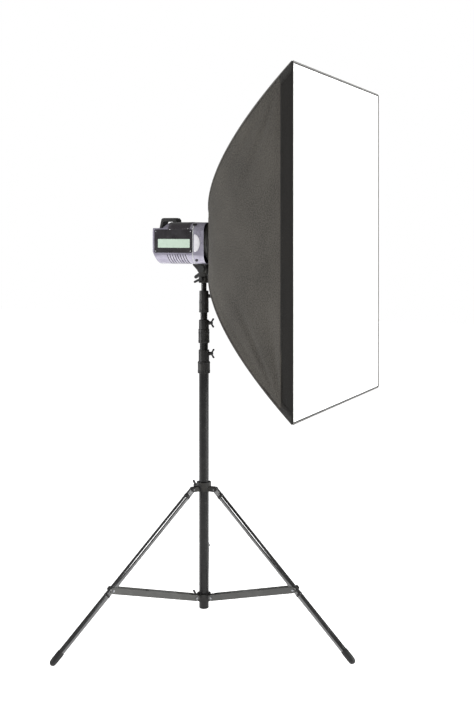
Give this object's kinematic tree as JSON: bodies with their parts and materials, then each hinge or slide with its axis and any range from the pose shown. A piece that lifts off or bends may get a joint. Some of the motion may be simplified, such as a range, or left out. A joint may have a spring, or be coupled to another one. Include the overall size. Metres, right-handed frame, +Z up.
{
  "type": "studio softbox",
  "caption": "Rectangular softbox with bowed rods and stretched diffusers on a compact flash head, tilt bracket and telescopic tripod stand.",
  "frame": {"origin": "centre of the bounding box on the floor, under the feet", "axes": "+Z up along the column, the softbox faces -Y, the blank label is on the -X side of the head"},
  "size_m": [1.0169, 0.9305, 1.955],
  "materials": {
    "black_tube": "black anodised, satin",
    "black_casting": "black painted casting",
    "grey_collar": "dark grey painted casting",
    "grey_steel": "dark grey, satin",
    "black_plastic": "black moulded",
    "black_rubber": "matt",
    "silver_paint": "pale lavender silver paint",
    "dark_panel": "satin dark film",
    "pale_label": "matt pale green, blank",
    "pale_plastic": "off-white",
    "cast_aluminium": "machined casting",
    "spring_steel": "bright spring steel",
    "clear_glass": "clear",
    "board_green": "solder mask",
    "capacitor_blue": "sleeved can",
    "screen_red": "tinted window",
    "dark_fabric": "dark grey woven fabric, fine grain",
    "white_fabric": "white diffusion cloth"
  },
  "bodies": {
    "column": {"base_tube": "black_tube", "column_end_cap": "black_plastic", "clamp_collar_1": "grey_collar", "brace_collar": "grey_collar"},
    "leg_slider": {"leg_collar": "grey_collar"},
    "riser_stage_1": {"riser_1": "black_tube", "clamp_collar_2": "grey_collar"},
    "riser_stage_2": {"riser_2": "black_tube", "clamp_collar_3": "grey_collar"},
    "riser_stage_3": {"top_riser_with_spigot": "black_tube"},
    "bracket": {"stand_socket": "black_casting"},
    "spigot_lever": {"spigot_clamp_lever": "black_plastic"},
    "tilt_bolt": {"tilt_lever": "black_plastic"},
    "head": {"head_mount": "black_casting", "head_housing": "silver_paint", "left_side_panel": "dark_panel", "right_side_panel": "dark_panel", "blank_label_plate": "pale_label", "carry_handle": "black_plastic", "bayonet_ring": "black_casting", "lamp_plate": "pale_plastic", "flash_tube": "clear_glass", "modelling_lamp": "clear_glass", "glass_dome": "clear_glass", "capacitor_1": "capacitor_blue", "capacitor_2": "capacitor_blue", "circuit_board": "board_green", "fan_frame": "black_plastic", "rear_panel": "dark_panel", "display_window": "screen_red", "mains_inlet": "black_plastic"},
    "catch": {"release_catch": "black_plastic"},
    "fan_blades": {"fan_rotor": "black_plastic"},
    "rocker": {"power_switch": "black_plastic"},
    "dial": {"power_dial": "black_plastic"},
    "softbox": {"speed_ring": "cast_aluminium", "rod_1": "spring_steel", "rod_2": "spring_steel", "rod_3": "spring_steel", "rod_4": "spring_steel", "fabric_shell": "dark_fabric", "front_diffuser": "white_fabric", "inner_diffuser": "white_fabric"},
    "leg_1_body": {"leg_1": "black_tube", "foot_1": "black_rubber"},
    "brace_1_body": {"brace_1": "grey_steel"},
    "button_1_body": {"button_1": "pale_plastic"},
    "collar_knob_1": {"clamp_knob_1": "black_plastic"},
    "leg_2_body": {"leg_2": "black_tube", "foot_2": "black_rubber"},
    "brace_2_body": {"brace_2": "grey_steel"},
    "button_2_body": {"button_2": "pale_plastic"},
    "collar_knob_2": {"clamp_knob_2": "black_plastic"},
    "leg_3_body": {"leg_3": "black_tube", "foot_3": "black_rubber"},
    "brace_3_body": {"brace_3": "grey_steel"},
    "button_3_body": {"button_3": "pale_plastic"},
    "collar_knob_3": {"clamp_knob_3": "black_plastic"},
    "leg_knob": {"leg_collar_knob": "black_plastic"},
    "brace_knob": {"brace_collar_knob": "black_plastic"}
  },
  "joints": [
    {"name": "tripod_fold", "type": "slide", "parent": "column", "child": "leg_slider", "axis": [0, 0, 1], "range_m": [0, 0.3873]},
    {"name": "leg_1_swing", "type": "hinge", "parent": "leg_slider", "child": "leg_1_body", "pos_m": [0.01527, 0.1392, 0.523], "axis": [-0.4179, 0.9085, 0], "range_deg": [0, 45.91]},
    {"name": "brace_1_swing", "type": "hinge", "parent": "column", "child": "brace_1_body", "pos_m": [0.008, 0.13586, 0.139], "axis": [0.4179, -0.9085, 0], "range_deg": [0, 75.04]},
    {"name": "leg_2_swing", "type": "hinge", "parent": "leg_slider", "child": "leg_2_body", "pos_m": [-0.06406, 0.14656, 0.523], "axis": [-0.5779, -0.8161, 0], "range_deg": [0, 45.91]},
    {"name": "brace_2_swing", "type": "hinge", "parent": "column", "child": "brace_2_body", "pos_m": [-0.05754, 0.14194, 0.139], "axis": [0.5779, 0.8161, 0], "range_deg": [0, 75.04]},
    {"name": "leg_3_swing", "type": "hinge", "parent": "leg_slider", "child": "leg_3_body", "pos_m": [-0.03077, 0.07418, 0.523], "axis": [0.9957, -0.0924, 0], "range_deg": [0, 45.91]},
    {"name": "brace_3_swing", "type": "hinge", "parent": "column", "child": "brace_3_body", "pos_m": [-0.03003, 0.08214, 0.139], "axis": [-0.9957, 0.0924, 0], "range_deg": [0, 75.04]},
    {"name": "riser_1_slide", "type": "slide", "parent": "column", "child": "riser_stage_1", "axis": [0, 0, 1], "range_m": [-0.024, 0.7]},
    {"name": "riser_2_slide", "type": "slide", "parent": "riser_stage_1", "child": "riser_stage_2", "axis": [0, 0, 1], "range_m": [-0.026, 0.68]},
    {"name": "riser_3_slide", "type": "slide", "parent": "riser_stage_2", "child": "riser_stage_3", "axis": [0, 0, 1], "range_m": [-0.027, 0.66]},
    {"name": "bracket_yaw", "type": "hinge", "parent": "riser_stage_3", "child": "bracket", "pos_m": [-0.02652, 0.11998, 1.257], "axis": [0, 0, 1], "continuous": true},
    {"name": "head_tilt", "type": "hinge", "parent": "bracket", "child": "head", "pos_m": [-0.02652, 0.11998, 1.308], "axis": [-1, 0, 0], "range_deg": [-15, 60]},
    {"name": "tilt_lever_turn", "type": "hinge", "parent": "head", "child": "tilt_bolt", "pos_m": [-0.02652, 0.11998, 1.308], "axis": [1, 0, 0], "range_deg": [-60, 40]},
    {"name": "spigot_lever_turn", "type": "hinge", "parent": "bracket", "child": "spigot_lever", "pos_m": [-0.02652, 0.11998, 1.272], "axis": [1, 0, 0], "range_deg": [-60, 60]},
    {"name": "softbox_turn", "type": "hinge", "parent": "head", "child": "softbox", "pos_m": [-0.02652, 0.05998, 1.405], "axis": [0, -1, 0], "continuous": true},
    {"name": "fan_spin", "type": "hinge", "parent": "head", "child": "fan_blades", "pos_m": [-0.02652, 0.25698, 1.397], "axis": [0, 1, 0], "continuous": true},
    {"name": "power_switch_rock", "type": "hinge", "parent": "head", "child": "rocker", "pos_m": [0.00348, 0.28498, 1.3815], "axis": [1, 0, 0], "range_deg": [-4, 4]},
    {"name": "power_dial_turn", "type": "hinge", "parent": "head", "child": "dial", "pos_m": [0.00348, 0.28498, 1.425], "axis": [0, 1, 0], "range_deg": [-140, 140]},
    {"name": "button_1_press", "type": "slide", "parent": "head", "child": "button_1_body", "axis": [0, -1, 0], "range_m": [0, 0.0012], "stiffness_N_per_m": 200},
    {"name": "button_2_press", "type": "slide", "parent": "head", "child": "button_2_body", "axis": [0, -1, 0], "range_m": [0, 0.0012], "stiffness_N_per_m": 200},
    {"name": "button_3_press", "type": "slide", "parent": "head", "child": "button_3_body", "axis": [0, -1, 0], "range_m": [0, 0.0012], "stiffness_N_per_m": 200},
    {"name": "release_catch_slide", "type": "slide", "parent": "head", "child": "catch", "axis": [0, 1, 0], "range_m": [0, 0.006], "stiffness_N_per_m": 150},
    {"name": "clamp_knob_1_turn", "type": "hinge", "parent": "column", "child": "collar_knob_1", "pos_m": [-0.01432, 0.09257, 1.004], "axis": [0.4067, -0.9135, 0], "continuous": true},
    {"name": "clamp_knob_2_turn", "type": "hinge", "parent": "riser_stage_1", "child": "collar_knob_2", "pos_m": [-0.01432, 0.09257, 1.1135], "axis": [0.4067, -0.9135, 0], "continuous": true},
    {"name": "clamp_knob_3_turn", "type": "hinge", "parent": "riser_stage_2", "child": "collar_knob_3", "pos_m": [-0.01432, 0.09257, 1.21], "axis": [0.4067, -0.9135, 0], "continuous": true},
    {"name": "leg_knob_turn", "type": "hinge", "parent": "leg_slider", "child": "leg_knob", "pos_m": [-0.02375, 0.14985, 0.53], "axis": [0.0924, 0.9957, 0], "continuous": true},
    {"name": "brace_knob_turn", "type": "hinge", "parent": "column", "child": "brace_knob", "pos_m": [-0.02375, 0.14985, 0.135], "axis": [0.0924, 0.9957, 0], "continuous": true}
  ],
  "couplings": [
    {"joint": "leg_1_swing", "follows": "tripod_fold", "rad_per_m": 2.0667},
    {"joint": "brace_1_swing", "follows": "tripod_fold", "rad_per_m": 3.3793},
    {"joint": "leg_2_swing", "follows": "tripod_fold", "rad_per_m": 2.0667},
    {"joint": "brace_2_swing", "follows": "tripod_fold", "rad_per_m": 3.3793},
    {"joint": "leg_3_swing", "follows": "tripod_fold", "rad_per_m": 2.0667},
    {"joint": "brace_3_swing", "follows": "tripod_fold", "rad_per_m": 3.3793}
  ]
}
